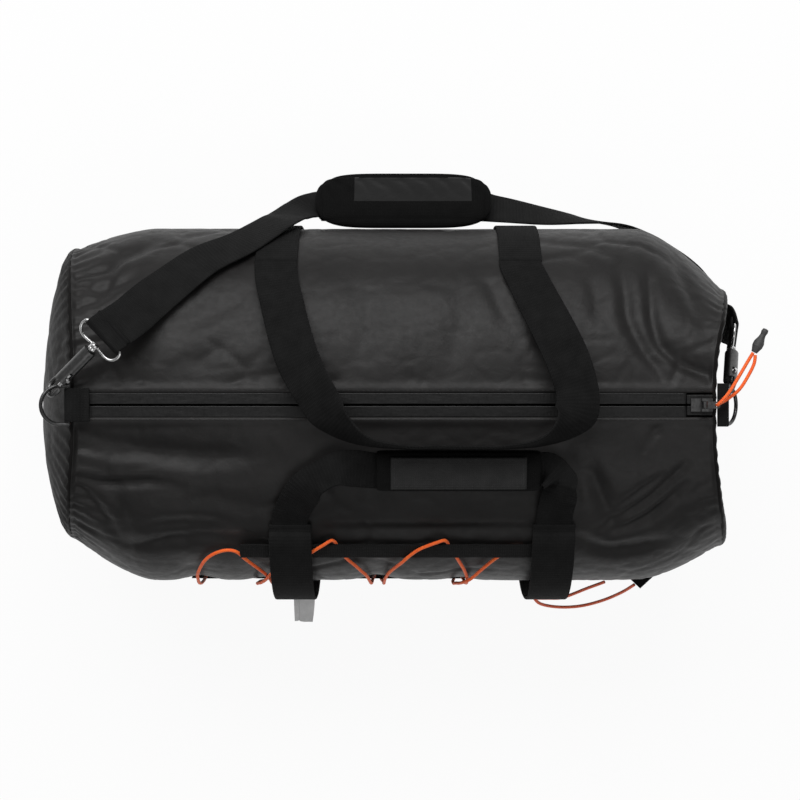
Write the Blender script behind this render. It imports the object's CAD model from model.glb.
# Looks of a soft gear duffel bag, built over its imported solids.
# Lengths are millimetres in the part's own frame until a mesh is made, which is in metres.
import math

import bpy
import numpy as np
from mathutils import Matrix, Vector
from mathutils import noise


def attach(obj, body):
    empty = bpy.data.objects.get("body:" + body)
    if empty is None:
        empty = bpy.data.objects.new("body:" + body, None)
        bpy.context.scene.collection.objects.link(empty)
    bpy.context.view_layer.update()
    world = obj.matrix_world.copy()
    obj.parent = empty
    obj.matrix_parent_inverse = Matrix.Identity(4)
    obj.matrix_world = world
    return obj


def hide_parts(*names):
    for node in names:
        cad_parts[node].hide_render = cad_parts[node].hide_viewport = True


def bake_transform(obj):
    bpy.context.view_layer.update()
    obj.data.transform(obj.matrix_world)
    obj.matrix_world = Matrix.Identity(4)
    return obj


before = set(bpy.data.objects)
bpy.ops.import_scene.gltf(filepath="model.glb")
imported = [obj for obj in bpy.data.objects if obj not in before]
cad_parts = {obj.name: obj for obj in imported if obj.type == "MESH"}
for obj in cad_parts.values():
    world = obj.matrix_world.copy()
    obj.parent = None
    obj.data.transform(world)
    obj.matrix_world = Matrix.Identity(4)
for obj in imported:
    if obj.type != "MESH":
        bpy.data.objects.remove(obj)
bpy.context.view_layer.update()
MM = 0.001

# Sizes of the shell
SEAM_HALF = 295.0
HALF_WIDTH = 175.0
BAG_HEIGHT = 320.0
WIDEST_Z = 160.0
BASE_HALF = 95.0
MOUTH_HALF = 75.0
WALL = 3.0
SHOULDER = 75.0
LEFT_DOME = 49.0
RIGHT_DOME = 10.0
SQUARENESS = 2.4
SEAM_GAP = 0.1
DRAWS = {"far": (20.0, 60.0), "near": (42.0, 35.0)}
LEANS = (18.0, 26.0)
ZIP_HALF = 11.0
SIGNS = {"far": 1, "near": -1}

# Sizes of the webbing and what hangs on it
WEB_W = 40.0
WEB_T = 2.2
WEB_LIFT = WEB_T / 2 + 0.6
HANDLE_SPAN = 230.0
FAR_CENTRE = 5.0
NEAR_CENTRE = 19.0
NEAR_SKEW = 16.0
NEAR_LEFT_X = NEAR_CENTRE - HANDLE_SPAN / 2
NEAR_RIGHT_X = NEAR_CENTRE + HANDLE_SPAN / 2 + NEAR_SKEW
CORD_D = 3.2
TAIL_D = 3.2


# Vectors and smooth lines
def unit(v):
    v = np.asarray(v, float)
    return v / np.linalg.norm(v, axis=-1, keepdims=True)


def square_to(v, axis):
    return unit(v - np.sum(v * axis, axis=-1, keepdims=True) * axis)


def smooth_line(points, steps):
    p = np.asarray(points, float)
    last = len(p) - 1
    rows = []
    for i in range(last):
        a, b, c, d = p[max(i - 1, 0)], p[i], p[i + 1], p[min(i + 2, last)]
        for k in range(steps):
            t = k / steps
            rows.append(0.5 * (2 * b + (c - a) * t + (2 * a - 5 * b + 4 * c - d) * t**2
                               + (3 * b - a - 3 * c + d) * t**3))
    rows.append(p[last])
    return np.array(rows)


def stacked(*parts):
    return np.stack(np.broadcast_arrays(*parts), axis=-1)


def directions(points):
    ahead = np.vstack([points[1:], points[-1:]])
    behind = np.vstack([points[:1], points[:-1]])
    return unit(ahead - behind)


# Distance of each point from the first, measured along the line
def run_along(points):
    steps = np.linalg.norm(np.diff(points, axis=0), axis=1)
    return np.concatenate([[0], np.cumsum(steps)])


def fade(value, low, high):
    t = np.clip((value - low) / (high - low), 0, 1)
    return t * t * (3 - 2 * t)


# Rows of a line or grid from first to last, each eased towards its two neighbours
def ease_rows(grid, first, last, rounds):
    for _ in range(rounds):
        neighbours = grid[first - 1:last - 1] + grid[first + 1:last + 1]
        grid[first:last] = 0.5 * grid[first:last] + 0.25 * neighbours


# A bell of height one and the half-width given
def bell(value, half_width):
    return np.exp(-((value / half_width) ** 2))


def signed_power(value, power):
    return np.sign(value) * np.abs(value) ** power


# Body outline
def share(y, a):
    return np.maximum(0, 1 - (np.minimum(y, a) / a) ** SQUARENESS) ** (1 / SQUARENESS)


TOP_RISE = BAG_HEIGHT - WIDEST_Z
BASE_FALL = WIDEST_Z / share(BASE_HALF, HALF_WIDTH)


def top_z(y):
    return WIDEST_Z + TOP_RISE * share(np.abs(y), HALF_WIDTH)


MOUTH_Z = float(top_z(MOUTH_HALF))


def skin_point(z, off):
    height = TOP_RISE if z >= WIDEST_Z else BASE_FALL
    y = HALF_WIDTH * share(abs(z - WIDEST_Z), height)
    power = SQUARENESS - 1
    rise = math.copysign((abs(z - WIDEST_Z) / height) ** power / height, z - WIDEST_Z)
    normal = unit([(y / HALF_WIDTH) ** power / HALF_WIDTH, rise])
    return np.array([y, z]) + off * normal, normal


def top_normal(y):
    z = max(float(top_z(y)), WIDEST_Z + 1)
    normal = skin_point(z, 0)[1]
    return np.array([0, np.sign(y) * normal[0], normal[1]])


# Meshes
def make_mesh(name, points, faces, material, uv, flat=False):
    mesh = bpy.data.meshes.new(name)
    mesh.from_pydata((np.asarray(points) * MM).tolist(), [], faces)
    layer = mesh.uv_layers.new(name="UVMap")
    corner = np.empty(len(mesh.loops), dtype=np.int32)
    mesh.loops.foreach_get("vertex_index", corner)
    layer.data.foreach_set("uv", (np.asarray(uv, np.float32) * MM)[corner].ravel())
    mesh.polygons.foreach_set("use_smooth", [not flat] * len(mesh.polygons))
    mesh.materials.append(material)
    mesh.update()
    piece = bpy.data.objects.new(name, mesh)
    bpy.context.scene.collection.objects.link(piece)
    return piece


def finish_piece(piece, body, slot, *nodes):
    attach(piece, body)
    if nodes:
        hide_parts(*nodes)


def grid_faces(rows, columns, first=0, closed=False, flip=False):
    faces = []
    across = columns if closed else columns - 1
    for i in range(rows - 1):
        for j in range(across):
            a = first + i * columns + j
            b = first + i * columns + (j + 1) % columns
            quad = (a, b, b + columns, a + columns)
            faces.append(quad[::-1] if flip else quad)
    return faces


# Faces of a closed loft from loop to loop, with a cap at each end
def capped_faces(loops, sides, first=0, flip=False):
    start = tuple(range(first, first + sides))
    end = tuple(i + (loops - 1) * sides for i in start)
    caps = [start, end[::-1]] if flip else [start[::-1], end]
    return grid_faces(loops, sides, first, closed=True, flip=flip) + caps


def grid_normals(grid):
    down = np.gradient(grid, axis=0)
    across = np.gradient(grid, axis=1)
    return unit(np.cross(across, down))


# A sheet with two faces and a rim, from a grid of outer points and one of inner points
def thick_sheet(name, outer, inner, uv, material, flip):
    rows, columns = outer.shape[:2]
    count = rows * columns
    faces = grid_faces(rows, columns, 0, flip=flip) + grid_faces(rows, columns, count, flip=not flip)
    edge = list(range(columns))
    edge += [i * columns + columns - 1 for i in range(1, rows)]
    edge += [(rows - 1) * columns + j for j in range(columns - 2, -1, -1)]
    edge += [i * columns for i in range(rows - 2, 0, -1)]
    for k, a in enumerate(edge):
        b = edge[(k + 1) % len(edge)]
        quad = (b, a, a + count, b + count)
        faces.append(quad[::-1] if flip else quad)
    points = np.vstack([outer.reshape(-1, 3), inner.reshape(-1, 3)])
    flat_uv = uv.reshape(-1, 2)
    return make_mesh(name, points, faces, material, np.vstack([flat_uv, flat_uv]))


# A closed strip of webbing along points, its face turned to the normal given at each point
EDGE_STEPS = 4
FACE_STEPS = 10


def strip_outline(width, thick):
    r = thick / 2
    inside = width / 2 - r
    turns = np.radians(np.linspace(90, -90, EDGE_STEPS + 1))
    row = np.linspace(inside, -inside, FACE_STEPS + 1)[1:-1]
    outline = [(inside + r * math.cos(q), r * math.sin(q)) for q in turns]
    outline += [(u, -r) for u in row]
    outline += [(-inside - r * math.cos(q), -r * math.sin(q)) for q in turns]
    outline += [(u, r) for u in row[::-1]]
    return np.array(outline)


def ribbon(name, points, normals, width, thick, material):
    points = np.asarray(points, float)
    ways = directions(points)
    faces = square_to(np.asarray(normals, float), ways)
    sides = np.cross(faces, ways)
    outline = strip_outline(width, thick)
    loops = (points[:, None, :] + sides[:, None, :] * outline[None, :, 0, None]
             + faces[:, None, :] * outline[None, :, 1, None])
    uv = stacked(run_along(points)[:, None], outline.sum(axis=1)[None, :])
    quads = capped_faces(len(points), len(outline), flip=True)
    return make_mesh(name, loops.reshape(-1, 3), quads, material, uv.reshape(-1, 2))


# A direction that no cord or hook runs along
ANY_WAY = np.array([0.31, 0.17, 0.93])


def round_turns(sides):
    return np.radians(np.arange(sides) * 360 / sides)


# A round cord along points
def tube(name, points, diameter, material, sides=14):
    points = np.asarray(points, float)
    ways = directions(points)
    normal = ANY_WAY
    turns = round_turns(sides)
    loops = []
    for point, way in zip(points, ways):
        normal = square_to(normal, way)
        other = np.cross(way, normal)
        spokes = np.cos(turns)[:, None] * normal + np.sin(turns)[:, None] * other
        loops.append(point + diameter / 2 * spokes)
    girth = np.linspace(0, diameter * 3, sides)
    uv = stacked(run_along(points)[:, None], girth[None, :])
    return make_mesh(name, np.vstack(loops), capped_faces(len(points), sides), material, uv.reshape(-1, 2))


# Short raised stitches along lines, lying on the surface whose normals are given
STITCH_L = 3.0
STITCH_GAP = 1.6
STITCH_W = 0.7
STITCH_T = 0.45
STITCH_SUNK = 0.2
STITCH_END = 0.45


def stitches(name, lines, material):
    points = []
    faces = []
    for line, normals in lines:
        run = run_along(line)
        ways = directions(line)

        def at(values, d):
            return np.array([np.interp(d, run, values[:, k]) for k in range(3)])

        for start in np.arange(STITCH_GAP / 2, run[-1] - STITCH_L, STITCH_L + STITCH_GAP):
            first = len(points)
            for share_of_way, size in ((0, STITCH_END), (0.5, 1.0), (1, STITCH_END)):
                d = start + share_of_way * STITCH_L
                place = at(line, d)
                way = unit(at(ways, d))
                up = square_to(at(normals, d), way)
                side = np.cross(up, way) * STITCH_W / 2 * size
                points.append(place - side - up * STITCH_SUNK)
                points.append(place + up * STITCH_T * size)
                points.append(place + side - up * STITCH_SUNK)
            for a in (first, first + 3):
                faces += [(a, a + 1, a + 4, a + 3), (a + 1, a + 2, a + 5, a + 4)]
            faces += [(first, first + 2, first + 1), (first + 6, first + 7, first + 8)]
    return make_mesh(name, points, faces, material, np.asarray(points)[:, :2])


# Material building blocks
def new_material(name):
    material = bpy.data.materials.new(name)
    material.use_nodes = True
    tree = material.node_tree
    return material, tree, tree.nodes["Principled BSDF"]


# A node whose inputs take values or other nodes' outputs
def add(tree, kind, **settings):
    node = tree.nodes.new(kind)
    for key, value in settings.items():
        if key not in node.inputs:
            setattr(node, key, value)
        elif isinstance(value, bpy.types.NodeSocket):
            tree.links.new(value, node.inputs[key])
        else:
            node.inputs[key].default_value = value
    return node


def mapped(tree, scale=(1, 1, 1), source="UV"):
    where = add(tree, "ShaderNodeTexCoord")
    return add(tree, "ShaderNodeMapping", Vector=where.outputs[source], Scale=scale).outputs["Vector"]


def noise_of(tree, vector, scale, detail=3.0, rough=0.55, bend=0.0):
    node = add(tree, "ShaderNodeTexNoise", Vector=vector, Scale=scale, Detail=detail, Roughness=rough,
               Distortion=bend)
    return node.outputs["Fac"]


# Noise stays mostly between these two values
NOISE_LOW = 0.3
NOISE_HIGH = 0.7


def roughen(tree, shader, value, low, high):
    limits = {"From Min": NOISE_LOW, "From Max": NOISE_HIGH, "To Min": low, "To Max": high}
    node = add(tree, "ShaderNodeMapRange", Value=value, **limits)
    tree.links.new(node.outputs["Result"], shader.inputs["Roughness"])


def paint(tree, shader, factor, dark, light, low=NOISE_LOW, high=NOISE_HIGH):
    ramp = add(tree, "ShaderNodeValToRGB", Fac=factor)
    for element, place, colour in zip(ramp.color_ramp.elements, (low, high), (dark, light)):
        element.position = place
        element.color = (*colour, 1)
    tree.links.new(ramp.outputs["Color"], shader.inputs["Base Color"])


def sum_of(tree, first, second, weight):
    node = add(tree, "ShaderNodeMath", operation="MULTIPLY_ADD")
    tree.links.new(second, node.inputs[0])
    node.inputs[1].default_value = weight
    tree.links.new(first, node.inputs[2])
    return node.outputs[0]


def joined(tree, operation, first, second):
    node = add(tree, "ShaderNodeMath", operation=operation)
    tree.links.new(first, node.inputs[0])
    tree.links.new(second, node.inputs[1])
    return node.outputs[0]


def bump(tree, shader, height, strength, distance):
    node = add(tree, "ShaderNodeBump", Height=height, Strength=strength, Distance=distance)
    tree.links.new(node.outputs["Normal"], shader.inputs["Normal"])


def bands(tree, vector, way, scale, **more):
    node = add(tree, "ShaderNodeTexWave", wave_type="BANDS", bands_direction=way, Vector=vector, Scale=scale,
               **more)
    return node.outputs["Fac"]


def weave_of(tree, vector, along, across):
    loose = {"Distortion": 0.6, "Detail": 1.0}
    first = bands(tree, vector, "X", along, **loose)
    second = bands(tree, vector, "Y", across, **loose)
    return joined(tree, "MULTIPLY", first, second)


# Coated nylon: a fine weave under a slightly shiny film, with soft crinkles
def coated_nylon(name, dark, light, rough=0.46, shine=0.2):
    material, tree, shader = new_material(name)
    vector = mapped(tree)
    patches = noise_of(tree, vector, 22, 4, 0.6, 0.4)
    paint(tree, shader, patches, dark, light)
    scuffs = noise_of(tree, vector, 160, 4, 0.65)
    roughen(tree, shader, scuffs, rough - 0.05, rough + 0.07)
    shader.inputs["Specular IOR Level"].default_value = shine
    crinkle = noise_of(tree, vector, 55, 4, 0.5, 0.6)
    weave = weave_of(tree, vector, 420, 420)
    bump(tree, shader, sum_of(tree, crinkle, weave, 0.04), 0.5, 0.0012)
    return material


# Woven nylon webbing: ribs across the strap, finer yarns along it
def woven(name, dark, light, along=95, across=210, rough=0.72):
    material, tree, shader = new_material(name)
    vector = mapped(tree)
    patches = noise_of(tree, vector, 60, 3, 0.6)
    yarns = weave_of(tree, vector, along, across)
    mixed = sum_of(tree, patches, yarns, 0.35)
    paint(tree, shader, mixed, dark, light, 0.3, 0.9)
    fuzz = noise_of(tree, vector, 900, 2, 0.7)
    roughen(tree, shader, fuzz, rough - 0.08, rough + 0.12)
    shader.inputs["Specular IOR Level"].default_value = 0.1
    bump(tree, shader, sum_of(tree, yarns, fuzz, 0.4), 0.6, 0.0006)
    return material


# Laminated zip tape: smooth film with a faint tooth pattern showing through
def laminate(name, dark, light):
    material, tree, shader = new_material(name)
    vector = mapped(tree)
    patches = noise_of(tree, mapped(tree, (1, 5, 1)), 30, 4, 0.6)
    paint(tree, shader, patches, dark, light)
    scuffs = noise_of(tree, vector, 250, 3, 0.6)
    roughen(tree, shader, scuffs, 0.34, 0.5)
    shader.inputs["Specular IOR Level"].default_value = 0.25
    teeth = weave_of(tree, vector, 100, 20)
    waves = noise_of(tree, mapped(tree, (1, 3, 1)), 55, 3, 0.5)
    bump(tree, shader, sum_of(tree, waves, teeth, 0.15), 0.5, 0.001)
    return material


# Metal with fine handling marks
def metal(name, dark, light, rough):
    material, tree, shader = new_material(name)
    vector = mapped(tree, source="Object")
    marks = noise_of(tree, vector, 260, 4, 0.65, 0.3)
    paint(tree, shader, marks, dark, light)
    grain = noise_of(tree, vector, 700, 3, 0.6)
    roughen(tree, shader, grain, rough - 0.07, rough + 0.1)
    shader.inputs["Metallic"].default_value = 1.0
    bump(tree, shader, grain, 0.15, 0.0003)
    return material


# Braided cord: crossing diagonal yarns
def braided(name, dark, light, pitch=330):
    material, tree, shader = new_material(name)
    vector = mapped(tree)
    rise = bands(tree, vector, "DIAGONAL", pitch)
    fall = bands(tree, mapped(tree, (1, -1, 1)), "DIAGONAL", pitch)
    yarns = joined(tree, "MULTIPLY", rise, fall)
    tone = sum_of(tree, noise_of(tree, vector, 120, 3), yarns, 0.5)
    paint(tree, shader, tone, dark, light, 0.25, 0.85)
    fuzz = noise_of(tree, vector, 900, 2, 0.6)
    roughen(tree, shader, fuzz, 0.5, 0.68)
    shader.inputs["Sheen Weight"].default_value = 0.15
    bump(tree, shader, yarns, 0.5, 0.0005)
    return material


# Moulded rubber or plastic with a fine grain
def moulded(name, dark, light, rough=0.6):
    material, tree, shader = new_material(name)
    vector = mapped(tree, source="Object")
    patches = noise_of(tree, vector, 120, 4, 0.6)
    paint(tree, shader, patches, dark, light)
    grain = noise_of(tree, vector, 1500, 2, 0.5)
    roughen(tree, shader, grain, rough - 0.06, rough + 0.08)
    bump(tree, shader, grain, 0.25, 0.0004)
    return material


def grey(level, warm=0.0):
    return (level * (1 + warm), level, level * (1 - warm * 0.3))


shell_far = coated_nylon("shell_nylon_far", grey(0.012, 0.05), grey(0.017, 0.05))
shell_near = coated_nylon("shell_nylon_near", grey(0.011, 0.05), grey(0.016, 0.05))
shell_end = coated_nylon("shell_nylon_end", grey(0.007, 0.06), grey(0.011, 0.06), shine=0.04)
shell_base = coated_nylon("shell_nylon_base", grey(0.012), grey(0.018), 0.5)
web_dark = woven("webbing_dark", grey(0.005), grey(0.011), rough=0.85)
web_strap = woven("webbing_strap", grey(0.007), grey(0.013), rough=0.8)
web_sewn = woven("webbing_sewn", grey(0.007), grey(0.013), rough=0.85)
tape_cloth = woven("lace_tape_cloth", grey(0.007), grey(0.012), 150, 150)
pad_cloth = woven("pad_cloth", grey(0.002), grey(0.004), 180, 180, 0.85)
pad_panel_cloth = coated_nylon("pad_panel_nylon", grey(0.006), grey(0.01), 0.42)
grip_cloth = woven("grip_cloth", grey(0.004), grey(0.007), 190, 190, 0.85)
flap_cloth = woven("flap_cloth", grey(0.022), grey(0.034), 190, 190, 0.6)
zip_film = laminate("zip_film", grey(0.007), grey(0.011))
zip_teeth = moulded("zip_teeth", grey(0.006), grey(0.012), 0.45)
thread = braided("sewing_thread", grey(0.012), grey(0.025), 500)
dark_steel = metal("gunmetal", grey(0.09), grey(0.14), 0.36)
black_steel = metal("black_metal", grey(0.05), grey(0.09), 0.34)
bright_steel = metal("bright_steel", grey(0.55), grey(0.72), 0.22)
orange_cord = braided("orange_cord", (0.95, 0.075, 0.003), (1.0, 0.17, 0.01))
red_cord = braided("red_cord", (1.0, 0.13, 0.06), (1.0, 0.24, 0.12), 420)
silver_cloth = woven("silver_cloth", grey(0.6), grey(0.85), 260, 260, 0.42)
rubber = moulded("grip_rubber", grey(0.035), grey(0.055))

# Camera: straight above, as the bag was photographed
CAMERA_X = 6.5
CAMERA_Y = 4.6
CAMERA_Z = 2160.0
camera_data = bpy.data.cameras.new("camera")
camera_data.lens = 90
camera_data.sensor_width = 36
camera_data.clip_end = 20
camera = bpy.data.objects.new("camera", camera_data)
camera.location = (CAMERA_X * MM, CAMERA_Y * MM, CAMERA_Z * MM)
bpy.context.scene.collection.objects.link(camera)
bpy.context.scene.camera = camera

# Cords, along the same routes as their solids
PULL_ROUTE = [(331, 48, 322), (326, 40, 322.5), (318, 27, 325), (308, 12, 329.5), (301, 4, 331.4),
              (297.6, 0.5, 330.8), (297, 0, 328), (297.2, 0, 325.4), (300, 1.5, 323.9), (308, 6, 323.5),
              (318, 14, 323), (326, 26, 322.5), (332, 38, 322), (333, 46, 322)]
# A low turn of the lace, from one side of the lower tape to the other: height and distance off the skin
LOW_TURN = [(135, 2.1), (117, 2.1), (104, 2.1), (98.5, 2.1), (95.5, 4.6), (98.5, 7.2), (104, 7.3), (115, 7.3),
            (132, 4.6), (152, 2.4)]


def low_turn(*xs):
    return [(x, *place) for x, place in zip(xs, LOW_TURN)]


LACE_ROUTE = [(-192, 104, 2.1), (-191.5, 118, 2.1), (-191, 140, 2.1), (-190.5, 170, 2.2), (-190, 200, 2.2),
              (-189, 222, 2.2), (-187.4, 241, 2.1), (-180.5, 260.5, 2.1), (-173, 269.5, 2.1),
              (-164, 274.3, 2.1), (-155.5, 276, 2.1), (-149, 275, 2.1), (-144.5, 271.8, 2.1),
              (-140.5, 266.5, 2.1), (-131.5, 255.5, 2.1), (-125, 245, 2.1), (-121, 235, 2.1),
              (-119, 221, 2.1), (-118.3, 200, 2.2), (-118.5, 165, 2.2),
              *low_turn(-119.5, -122, -124, -125.3, -127, -128.7, -129.7, -131.5, -133, -133.8),
              (-134, 180, 2.3), (-133.2, 200, 2.6), (-131.8, 211, 3.4), (-128, 222, 5.2), (-122, 236, 6),
              (-116.5, 247, 5.2), (-108, 257, 4.6), (-99, 264, 6.4), (-91, 269.5, 7.3), (-84, 273.5, 7.3),
              (-78, 277, 7.3), (-72, 280.5, 7.3), (-66, 283.4, 7.1), (-61, 285.4, 6), (-57, 286.2, 4.4),
              (-54, 282.8, 2.1), (-50, 275.5, 2.1), (-46, 269.5, 2.1), (-41.5, 263.5, 2.1),
              (-36, 256.5, 2.1), (-30, 245.5, 2.1), (-26, 237, 2.1), (-23.5, 222, 2.1), (-22, 200, 2.2),
              (-21.5, 165, 2.2), *low_turn(-21, -19.5, -18.4, -17.4, -16, -14.6, -13.6, -12, -10.5, -10),
              (-9.5, 180, 2.2), (-9, 205, 2.2), (-8, 225, 2.2), (-4.5, 242, 2.3), (2, 256, 3.8),
              (8.5, 266.5, 6.6), (15, 274, 7.3), (24, 280.2, 7.3), (34, 283.8, 7.1), (43, 285.6, 5.8),
              (48, 286.2, 4.4), (51, 282.8, 2.1), (55, 275.5, 2.1), (59.5, 269, 2.1), (63.5, 260.5, 2.1),
              (66.5, 253, 2.1), (69, 243.5, 2.1), (70.8, 233, 2.1), (71.6, 221, 2.2), (71.6, 200, 2.2),
              (71.3, 165, 2.2), *low_turn(70.5, 68.5, 67.2, 66.2, 64.6, 63.2, 62.4, 61, 60, 59.5),
              (59.5, 180, 2.3), (60, 200, 2.6), (61.2, 210, 3.4), (64.5, 220, 5.2), (71, 231, 6),
              (76.5, 238.5, 5), (84, 250, 2.8), (92, 261, 2.1), (99.5, 269, 2.1), (107, 274, 2.1),
              (114, 276.5, 2.1), (121, 277, 2.1)]
SHORT_ROUTE = [(136, -194.8, 140), (146, -195.7, 139), (158, -195.7, 139), (169, -195.4, 139.5),
               (180, -191.5, 142), (194, -185.2, 147), (204, -180.8, 153), (211, -177.4, 159)]
LONG_ROUTE = [(141, -193.7, 132), (147, -201.4, 127), (158.5, -205.3, 122), (174, -206.8, 119),
              (190.5, -205.6, 119), (205.5, -202, 121), (219, -196.8, 126), (231, -190.2, 134),
              (238, -184.9, 142), (242, -181.2, 148)]


def lace_point(x, z, off):
    place = skin_point(z, off)[0]
    return (x, -place[0], place[1])


# Evenly spaced points along a line, with its tight turns eased
CORD_STEP = 1.2
EASE_ROUNDS = 5


def eased(points):
    lengths = run_along(points)
    places = np.linspace(0, lengths[-1], int(lengths[-1] / CORD_STEP) + 1)
    line = stacked(*(np.interp(places, lengths, points[:, k]) for k in range(3)))
    ease_rows(line, 1, len(line) - 1, EASE_ROUNDS)
    return line


def make_cord(node, route, steps, diameter, material, body, slot):
    line = eased(smooth_line(route, steps))
    piece = tube(node + "_look", line, diameter, material)
    finish_piece(piece, body, slot, node)


make_cord("zip_pull_cord", PULL_ROUTE, 8, CORD_D, orange_cord, "pull", "orange_cord")
make_cord("bungee_lace", [lace_point(*p) for p in LACE_ROUTE], 4, CORD_D, orange_cord, "bag", "orange_cord")
make_cord("tail_cord_short", SHORT_ROUTE, 6, TAIL_D, red_cord, "bag", "red_cord")
make_cord("tail_cord_long", LONG_ROUTE, 6, TAIL_D, red_cord, "bag", "red_cord")

# Folds of the shell in plan view: the line of each valley, its half-width and its depth
FOLDS = [
    ([(-294, 126), (-271, 132), (-255, 147), (-226, 158)], 6, 4.0),
    ([(-297, 117), (-278, 113), (-264, 122)], 5, 3.5),
    ([(-290, 95), (-266, 110), (-238, 125)], 7, 4.0),
    ([(-280, 82), (-249, 101), (-226, 119)], 8, 3.5),
    ([(-290, 56), (-262, 62), (-236, 72)], 7, 2.5),
    ([(-214, 72), (-176, 84), (-139, 99)], 12, 2.4),
    ([(-190, 34), (-164, 50), (-141, 76)], 12, 1.8),
    ([(213, 132), (216, 108), (218, 82), (230, 54), (249, 27)], 7, 4.5),
    ([(240, 128), (240, 98), (242, 72), (254, 48), (297, 24)], 6, 4.5),
    ([(187, 126), (189, 104), (190, 80)], 9, 2.4),
    ([(262, 36), (282, 31), (303, 26)], 5, 3.0),
    ([(270, 136), (281, 104), (288, 70)], 8, 3.2),
    ([(66, 116), (62, 78), (53, 36)], 10, 1.9),
    ([(86, 120), (105, 84), (116, 66)], 8, 2.6),
    ([(-62, 15), (-55, 27)], 4, 1.6),
    ([(14, 15), (15, 30)], 4, 1.6),
    ([(26, 15), (29, 27)], 3, 1.4),
    ([(134, 74), (140, 47)], 6, 1.8),
    ([(-40, 118), (-20, 80), (-34, 44)], 13, 1.6),
    ([(-302, -35), (-249, -41), (-178, -48), (-120, -47)], 14, 8.0),
    ([(-292, -67), (-266, -75), (-226, -73), (-198, -77)], 6, 4.5),
    ([(-299, -70), (-278, -96), (-264, -118)], 6, 4.0),
    ([(-232, -115), (-196, -112), (-160, -113)], 7, 3.5),
    ([(-250, -134), (-190, -126), (-130, -126)], 7, 3.5),
    ([(-63, -117), (25, -119), (134, -116)], 7, 4.5),
    ([(194, -118), (235, -91), (271, -55)], 4.5, 4.5),
    ([(204, -122), (240, -105), (271, -75)], 4.5, 4.5),
    ([(208, -98), (249, -66)], 4, 3.5),
    ([(172, -125), (206, -139), (256, -129)], 6, 4.5),
    ([(181, -55), (196, -91), (206, -117)], 8, 5.0),
    ([(230, -44), (247, -17)], 5, 2.4),
    ([(-206, -92), (-168, -88), (-128, -96)], 10, 2.2),
    ([(150, -30), (168, -62), (170, -98)], 10, 3.0),
]


def near_line(xy, line):
    best = np.full(len(xy), 1e9)
    place = np.zeros(len(xy))
    run = run_along(line)
    for a, b, start in zip(line[:-1], line[1:], run[:-1]):
        step = b - a
        size = np.linalg.norm(step)
        t = np.clip(((xy - a) @ step) / size**2, 0, 1)
        gap = np.linalg.norm(xy - a - t[:, None] * step, axis=1)
        closer = gap < best
        best[closer] = gap[closer]
        place[closer] = (start + t * size)[closer]
    return best, place / run[-1]


def fold_depth(points):
    xy = points[:, :2]
    depth = np.zeros(len(points))
    for line, width, deep in FOLDS:
        gap, place = near_line(xy, smooth_line(line, 6))
        taper = np.sin(np.pi * np.clip(0.08 + 0.84 * place, 0, 1)) ** 0.7
        valley = bell(gap, width) + 0.35 * np.exp(-gap / (2.2 * width))
        depth += deep * taper * valley
    return depth


def noise_at(points, scale, seed):
    shift = Vector((seed * 7.3, seed * 3.1, seed * 5.7))
    return np.array([noise.noise(Vector(p) / scale + shift) for p in points])


# Slow swell of slack cloth, for its depth and size
def slack_at(points, slack, seed):
    depth, size = slack
    return depth * (0.5 + noise_at(points, size, seed))


# Straight creases along the borders of irregular cells, as in crumpled coated cloth
def crumple_at(points, crumples, seed):
    depth, size, width = crumples
    gaps = np.empty(len(points))
    shift = Vector((seed * 2.7, seed * 8.9, seed * 4.1))
    for i, p in enumerate(points):
        near = noise.voronoi(Vector(p) / size + shift)[0]
        gaps[i] = (near[1] - near[0]) * size
    return depth * bell(gaps, width)


# Small gathers beside a sewn seam
def puckers(run, gap, gathers, seed):
    depth, pitch, reach = gathers
    wander = np.array([noise.noise(Vector((r / 40, seed, 0))) for r in run])
    wave = 0.5 + 0.5 * np.sin(2 * np.pi * run / pitch + 4 * wander + gap / 9)
    return depth * wave * np.exp(-gap / reach) * fade(gap, 0, 3)


# Half a cross-section, from the base up the side and in over the mouth: distance from the middle, height
# and share of the end's lean
def half_section(half_width, side_rows, mouth_end, mouth_rows):
    low = -math.acos((BASE_HALF / half_width) ** (SQUARENESS / 2))
    high = math.acos((MOUTH_HALF / half_width) ** (SQUARENESS / 2))
    turn = np.linspace(low, high, side_rows)
    side_y = half_width * np.abs(np.cos(turn)) ** (2 / SQUARENESS)
    h = np.abs(np.sin(turn)) ** (2 / SQUARENESS)
    side_z = np.where(turn > 0, WIDEST_Z + h * (MOUTH_Z - WIDEST_Z) / share(MOUTH_HALF, half_width),
                      WIDEST_Z - h * WIDEST_Z / share(BASE_HALF, half_width))
    mouth_y = np.linspace(MOUTH_HALF, mouth_end, mouth_rows + 1)[1:]
    lean_share = np.concatenate([np.cos(turn) ** 2, (mouth_y / half_width) ** SQUARENESS])
    return np.concatenate([side_y, mouth_y]), np.concatenate([side_z, top_z(mouth_y)]), lean_share


# Gathers have a depth, a spacing and a reach; crumples a depth, a size and a crease's half-width
LEFT_GATHERS = (2.6, 15, 20)
RIGHT_GATHERS = (1.2, 19, 16)
END_GATHERS = {"left": (3.0, 14, 22), "right": (1.2, 14, 22)}
BROAD_CRUMPLES = (1.5, 62, 5)
FINE_CRUMPLES = (0.5, 27, 2.6)
END_CRUMPLES = (0.8, 70, 9)
SIDE_SLACK = (1.5, 95)
END_SLACK = (1.8, 80)
RIPPLE_DEPTH = 1.6
RIPPLE_LENGTH = 17
DEEPEST = 14
HEM = 0.5
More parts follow.
